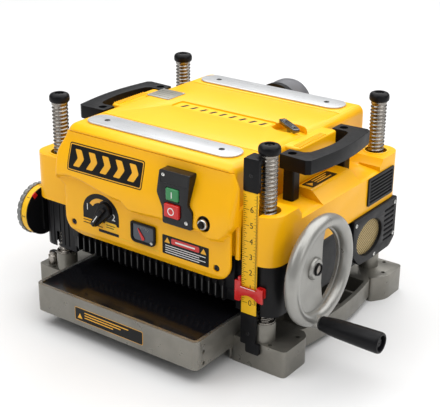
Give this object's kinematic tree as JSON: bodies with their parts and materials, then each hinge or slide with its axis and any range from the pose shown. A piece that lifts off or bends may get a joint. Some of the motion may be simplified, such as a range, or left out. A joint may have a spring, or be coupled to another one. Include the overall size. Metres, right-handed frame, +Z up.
{
  "type": "benchtop thickness planer",
  "caption": "Benchtop thickness planer: cast base with threaded corner posts, a yellow cutterhead carriage raised by a side handwheel, height scale, depth turret, switch and carrying bars.",
  "frame": {"origin": "under the middle of the bounding box, at the height of the bench", "axes": "+X to the operator's right (the handwheel side), +Y from infeed to outfeed, +Z up"},
  "size_m": [0.666, 0.5454, 0.3625],
  "materials": {
    "yellow": "smooth gloss yellow paint",
    "cast_aluminium": "matt silver-grey cast surface",
    "bright_aluminium": "bright brushed",
    "steel": "turned and threaded steel",
    "black_paint": "semi-gloss black paint",
    "black_plastic": "fine moulded texture",
    "rubber": "matt black",
    "bed_plate": "dark polished plate",
    "red": "gloss red",
    "green": "gloss green",
    "grey_plastic": "dark grey moulded",
    "screen": "fine woven mesh"
  },
  "bodies": {
    "base": {"base_casting": "cast_aluminium", "bed_plate": "bed_plate", "post_front_left": "steel", "post_front_right": "steel", "post_rear_left": "steel", "post_rear_right": "steel", "post_cap_front_left": "black_plastic", "post_cap_front_right": "black_plastic", "post_cap_rear_left": "black_plastic", "post_cap_rear_right": "black_plastic", "depth_stop_post": "steel", "scale_rule": "yellow", "scale_foot": "black_plastic", "scale_bracket": "black_plastic"},
    "carriage": {"carriage_casting": "black_paint", "front_guard": "black_plastic", "rear_guard": "black_plastic", "front_cover": "yellow", "top_cover": "yellow", "side_cover_left": "yellow", "side_cover_right": "yellow", "top_strip_front": "bright_aluminium", "top_strip_rear": "bright_aluminium", "nameplate": "bright_aluminium", "carry_handle_left": "black_plastic", "carry_handle_right": "black_plastic", "dust_chute": "grey_plastic", "switch_plate": "black_plastic", "breaker_bezel": "bright_aluminium", "gauge_housing": "grey_plastic", "turret_housing": "black_plastic", "height_pointer": "red", "vent_grille": "black_plastic", "gear_cover": "black_plastic", "filter_screen": "screen", "motor": "black_paint", "lift_chain": "steel", "drive_belt": "rubber"},
    "crank wheel": {"handwheel": "cast_aluminium", "crank_shaft": "steel"},
    "crank grip": {"crank_grip": "black_plastic"},
    "cutterhead": {"cutterhead": "steel", "knife_1": "bright_aluminium", "knife_2": "bright_aluminium", "knife_3": "bright_aluminium", "cutterhead_pulley": "steel"},
    "infeed roller": {"infeed_roller": "rubber"},
    "outfeed roller": {"outfeed_roller": "rubber"},
    "motor rotor": {"motor_shaft": "steel"},
    "depth turret": {"turret_dial": "yellow"},
    "speed selector": {"speed_knob": "black_plastic"},
    "start button": {"start_button": "green"},
    "stop button": {"stop_button": "red"},
    "overload button": {"breaker_button": "black_plastic"},
    "removal needle": {"gauge_needle": "red"},
    "knife wrench": {"knife_wrench": "steel"},
    "lift nut front left": {"lift_nut_front_left": "steel"},
    "lift nut front right": {"lift_nut_front_right": "steel"},
    "lift nut rear left": {"lift_nut_rear_left": "steel"},
    "lift nut rear right": {"lift_nut_rear_right": "steel"}
  },
  "joints": [
    {"name": "carriage_lift", "type": "slide", "parent": "base", "child": "carriage", "axis": [0, 0, 1], "range_m": [-0.0222, 0.127]},
    {"name": "crank_wheel_turn", "type": "hinge", "parent": "carriage", "child": "crank wheel", "pos_m": [0.215, -0.11325, 0.166], "axis": [1, 0, 0], "range_deg": [-5036, 28801]},
    {"name": "crank_grip_spin", "type": "hinge", "parent": "crank wheel", "child": "crank grip", "pos_m": [0.282, -0.12825, 0.088], "axis": [1, 0, 0], "continuous": true},
    {"name": "lift_nut_front_left_turn", "type": "hinge", "parent": "carriage", "child": "lift nut front left", "pos_m": [-0.2685, -0.15455, 0.192], "axis": [0, 0, 1], "range_deg": [-1260, 7201]},
    {"name": "lift_nut_front_right_turn", "type": "hinge", "parent": "carriage", "child": "lift nut front right", "pos_m": [0.1465, -0.15455, 0.192], "axis": [0, 0, 1], "range_deg": [-1260, 7201]},
    {"name": "lift_nut_rear_left_turn", "type": "hinge", "parent": "carriage", "child": "lift nut rear left", "pos_m": [-0.2685, 0.17605, 0.192], "axis": [0, 0, 1], "range_deg": [-1260, 7201]},
    {"name": "lift_nut_rear_right_turn", "type": "hinge", "parent": "carriage", "child": "lift nut rear right", "pos_m": [0.1465, 0.17605, 0.192], "axis": [0, 0, 1], "range_deg": [-1260, 7201]},
    {"name": "cutterhead_spin", "type": "hinge", "parent": "carriage", "child": "cutterhead", "pos_m": [-0.061, 0.01075, 0.1264], "axis": [1, 0, 0], "continuous": true},
    {"name": "infeed_roller_spin", "type": "hinge", "parent": "carriage", "child": "infeed roller", "pos_m": [-0.061, -0.06725, 0.1146], "axis": [1, 0, 0], "continuous": true},
    {"name": "outfeed_roller_spin", "type": "hinge", "parent": "carriage", "child": "outfeed roller", "pos_m": [-0.061, 0.08875, 0.1146], "axis": [1, 0, 0], "continuous": true},
    {"name": "motor_spin", "type": "hinge", "parent": "carriage", "child": "motor rotor", "pos_m": [-0.061, 0.08575, 0.216], "axis": [1, 0, 0], "continuous": true},
    {"name": "depth_turret_turn", "type": "hinge", "parent": "carriage", "child": "depth turret", "pos_m": [-0.3245, -0.16125, 0.1455], "axis": [1, 0, 0], "continuous": true},
    {"name": "speed_selector_turn", "type": "hinge", "parent": "carriage", "child": "speed selector", "pos_m": [-0.137, -0.20225, 0.2], "axis": [0, -1, 0], "range_deg": [0, 64]},
    {"name": "start_button_press", "type": "slide", "parent": "carriage", "child": "start button", "axis": [0, 1, 0], "range_m": [0, 0.0025], "stiffness_N_per_m": 1200},
    {"name": "stop_button_press", "type": "slide", "parent": "carriage", "child": "stop button", "axis": [0, 1, 0], "range_m": [0, 0.0035], "stiffness_N_per_m": 1200},
    {"name": "overload_button_press", "type": "slide", "parent": "carriage", "child": "overload button", "axis": [0, 1, 0], "range_m": [0, 0.002], "stiffness_N_per_m": 900},
    {"name": "removal_needle_swing", "type": "hinge", "parent": "carriage", "child": "removal needle", "pos_m": [-0.058, -0.19725, 0.172], "axis": [0, 1, 0], "range_deg": [0, 64], "stiffness_Nm_per_rad": 0.01},
    {"name": "knife_wrench_lift", "type": "slide", "parent": "carriage", "child": "knife wrench", "axis": [0, 0, 1], "range_m": [0, 0.066]}
  ],
  "couplings": [
    {"joint": "crank_wheel_turn", "follows": "carriage_lift", "rad_per_m": 3957.9},
    {"joint": "lift_nut_front_left_turn", "follows": "carriage_lift", "rad_per_m": 989.48},
    {"joint": "lift_nut_front_right_turn", "follows": "carriage_lift", "rad_per_m": 989.48},
    {"joint": "lift_nut_rear_left_turn", "follows": "carriage_lift", "rad_per_m": 989.48},
    {"joint": "lift_nut_rear_right_turn", "follows": "carriage_lift", "rad_per_m": 989.48},
    {"joint": "infeed_roller_spin", "follows": "cutterhead_spin", "ratio": -0.00788},
    {"joint": "outfeed_roller_spin", "follows": "cutterhead_spin", "ratio": -0.00788},
    {"joint": "motor_spin", "follows": "cutterhead_spin", "ratio": 2}
  ]
}
